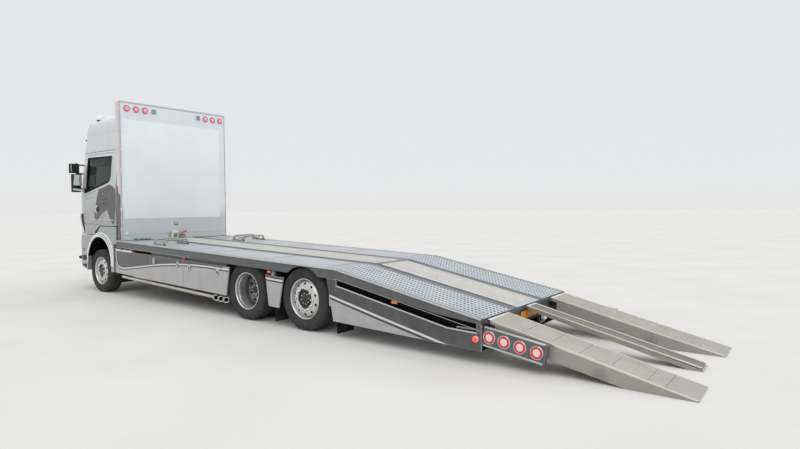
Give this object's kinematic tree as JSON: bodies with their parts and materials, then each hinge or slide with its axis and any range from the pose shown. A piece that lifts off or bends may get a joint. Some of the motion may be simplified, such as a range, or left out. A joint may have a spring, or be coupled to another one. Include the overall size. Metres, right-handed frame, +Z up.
{
  "type": "car transporter truck",
  "caption": "Rigid three-axle car transporter truck with tilting sleeper cab, headboard, low sloping deck with side lockers, rear ramps let down and swing-out lamp boards.",
  "frame": {"origin": "on the ground under the middle of the drive axle, which is also the middle of the overall length with the ramps down", "axes": "+X forward, +Y to the truck's left, +Z up"},
  "size_m": [12.9, 2.931, 4],
  "materials": {
    "chassis_paint": "satin",
    "engine_iron": "rough",
    "axle_iron": "rough",
    "tank_aluminium": "satin",
    "rail_paint": "satin",
    "track_aluminium": "satin",
    "centre_aluminium": "satin",
    "headboard_paint": "gloss",
    "stop_steel": "satin",
    "skirt_paint": "gloss",
    "locker_steel": "satin",
    "flap_rubber": "matte",
    "pipe_steel": "satin",
    "tyre_rubber": "matte",
    "wheel_metal": "satin",
    "cab_paint": "gloss",
    "grille_plastic": "gloss",
    "cab_glass": "gloss",
    "dash_plastic": "matte",
    "seat_fabric": "matte",
    "bunk_fabric": "matte",
    "mirror_plastic": "satin",
    "board_paint": "gloss",
    "ramp_aluminium": "satin"
  },
  "bodies": {
    "chassis": {"chassis_frame": "chassis_paint", "engine_block": "engine_iron", "front_axle": "axle_iron", "drive_axle": "axle_iron", "tag_axle": "axle_iron", "suspension": "chassis_paint", "tanks": "tank_aluminium", "deck_frame": "rail_paint", "deck_side_tracks": "track_aluminium", "deck_centre_track": "centre_aluminium", "headboard": "headboard_paint", "wheel_stops": "stop_steel", "side_skirts": "skirt_paint", "locker_boxes": "locker_steel", "mudflaps": "flap_rubber", "side_pipes": "pipe_steel", "front_bumper": "cab_paint", "front_fenders": "cab_paint"},
    "knuckle_left": {"knuckle_left": "axle_iron"},
    "front_wheel_left": {"front_wheel_left_tyre": "tyre_rubber", "front_wheel_left_rim": "wheel_metal"},
    "drive_wheels_left": {"drive_wheels_left_tyre": "tyre_rubber", "drive_wheels_left_rim": "wheel_metal"},
    "tag_wheel_left": {"tag_wheel_left_tyre": "tyre_rubber", "tag_wheel_left_rim": "wheel_metal"},
    "knuckle_right": {"knuckle_right": "axle_iron"},
    "front_wheel_right": {"front_wheel_right_tyre": "tyre_rubber", "front_wheel_right_rim": "wheel_metal"},
    "drive_wheels_right": {"drive_wheels_right_tyre": "tyre_rubber", "drive_wheels_right_rim": "wheel_metal"},
    "tag_wheel_right": {"tag_wheel_right_tyre": "tyre_rubber", "tag_wheel_right_rim": "wheel_metal"},
    "cab": {"cab_body": "cab_paint", "cab_roof": "cab_paint", "front_panel": "grille_plastic", "windscreen": "cab_glass", "dashboard": "dash_plastic", "seats": "seat_fabric", "bunk": "bunk_fabric", "mirrors": "mirror_plastic"},
    "door_left": {"door_left": "cab_paint", "door_glass_left": "cab_glass"},
    "lamp_board_left": {"lamp_board_left": "board_paint"},
    "locker_door_front_left": {"locker_door_front_left": "skirt_paint"},
    "locker_door_rear_left": {"locker_door_rear_left": "skirt_paint"},
    "door_right": {"door_right": "cab_paint", "door_glass_right": "cab_glass"},
    "lamp_board_right": {"lamp_board_right": "board_paint"},
    "locker_door_front_right": {"locker_door_front_right": "skirt_paint"},
    "locker_door_rear_right": {"locker_door_rear_right": "skirt_paint"},
    "ramp_left": {"ramp_left": "ramp_aluminium"},
    "ramp_right": {"ramp_right": "ramp_aluminium"},
    "ramp_centre": {"ramp_centre": "ramp_aluminium"}
  },
  "joints": [
    {"name": "steer_left", "type": "hinge", "parent": "chassis", "child": "knuckle_left", "pos_m": [5.1, 0.905, 0.463], "axis": [0, 0, 1], "range_deg": [-35, 35]},
    {"name": "spin_front_left", "type": "hinge", "parent": "knuckle_left", "child": "front_wheel_left", "pos_m": [5.1, 1.05, 0.463], "axis": [0, 1, 0], "continuous": true},
    {"name": "spin_drive_left", "type": "hinge", "parent": "chassis", "child": "drive_wheels_left", "pos_m": [0, 0.931, 0.463], "axis": [0, 1, 0], "continuous": true},
    {"name": "spin_tag_left", "type": "hinge", "parent": "chassis", "child": "tag_wheel_left", "pos_m": [-1.35, 1.104, 0.463], "axis": [0, 1, 0], "continuous": true},
    {"name": "steer_right", "type": "hinge", "parent": "chassis", "child": "knuckle_right", "pos_m": [5.1, -0.905, 0.463], "axis": [0, 0, 1], "range_deg": [-35, 35]},
    {"name": "spin_front_right", "type": "hinge", "parent": "knuckle_right", "child": "front_wheel_right", "pos_m": [5.1, -1.05, 0.463], "axis": [0, 1, 0], "continuous": true},
    {"name": "spin_drive_right", "type": "hinge", "parent": "chassis", "child": "drive_wheels_right", "pos_m": [0, -0.931, 0.463], "axis": [0, 1, 0], "continuous": true},
    {"name": "spin_tag_right", "type": "hinge", "parent": "chassis", "child": "tag_wheel_right", "pos_m": [-1.35, -1.104, 0.463], "axis": [0, 1, 0], "continuous": true},
    {"name": "cab_tilt", "type": "hinge", "parent": "chassis", "child": "cab", "pos_m": [6.328, 0, 1.2], "axis": [0, 1, 0], "range_deg": [0, 60]},
    {"name": "door_left_hinge", "type": "hinge", "parent": "cab", "child": "door_left", "pos_m": [5.675, 1.238, 2.2], "axis": [0, 0, -1], "range_deg": [0, 75]},
    {"name": "door_right_hinge", "type": "hinge", "parent": "cab", "child": "door_right", "pos_m": [5.675, -1.238, 2.2], "axis": [0, 0, 1], "range_deg": [0, 75]},
    {"name": "lamp_board_left_hinge", "type": "hinge", "parent": "chassis", "child": "lamp_board_left", "pos_m": [-4.318, 1.266, 0.44], "axis": [0.1495, 0, -0.9888], "range_deg": [0, 90]},
    {"name": "locker_front_left_hinge", "type": "hinge", "parent": "chassis", "child": "locker_door_front_left", "pos_m": [2.3, 1.275, 0.41428], "axis": [-0.9994, 0, -0.0335], "range_deg": [0, 90]},
    {"name": "locker_rear_left_hinge", "type": "hinge", "parent": "chassis", "child": "locker_door_rear_left", "pos_m": [1.1, 1.275, 0.37408], "axis": [-0.9994, 0, -0.0335], "range_deg": [0, 90]},
    {"name": "lamp_board_right_hinge", "type": "hinge", "parent": "chassis", "child": "lamp_board_right", "pos_m": [-4.318, -1.266, 0.44], "axis": [-0.1495, 0, 0.9888], "range_deg": [0, 90]},
    {"name": "locker_front_right_hinge", "type": "hinge", "parent": "chassis", "child": "locker_door_front_right", "pos_m": [2.3, -1.275, 0.41428], "axis": [0.9994, 0, 0.0335], "range_deg": [0, 90]},
    {"name": "locker_rear_right_hinge", "type": "hinge", "parent": "chassis", "child": "locker_door_rear_right", "pos_m": [1.1, -1.275, 0.37408], "axis": [0.9994, 0, 0.0335], "range_deg": [0, 90]},
    {"name": "ramp_left_hinge", "type": "hinge", "parent": "chassis", "child": "ramp_left", "pos_m": [-4.322, 0.92, 0.48], "axis": [0, 1, 0], "range_deg": [0, 25]},
    {"name": "ramp_right_hinge", "type": "hinge", "parent": "chassis", "child": "ramp_right", "pos_m": [-4.322, -0.92, 0.48], "axis": [0, 1, 0], "range_deg": [0, 25]},
    {"name": "ramp_centre_hinge", "type": "hinge", "parent": "chassis", "child": "ramp_centre", "pos_m": [-4.322, 0, 0.48], "axis": [0, 1, 0], "range_deg": [0, 25]}
  ],
  "couplings": [
    {"joint": "steer_right", "follows": "steer_left", "ratio": 1}
  ]
}
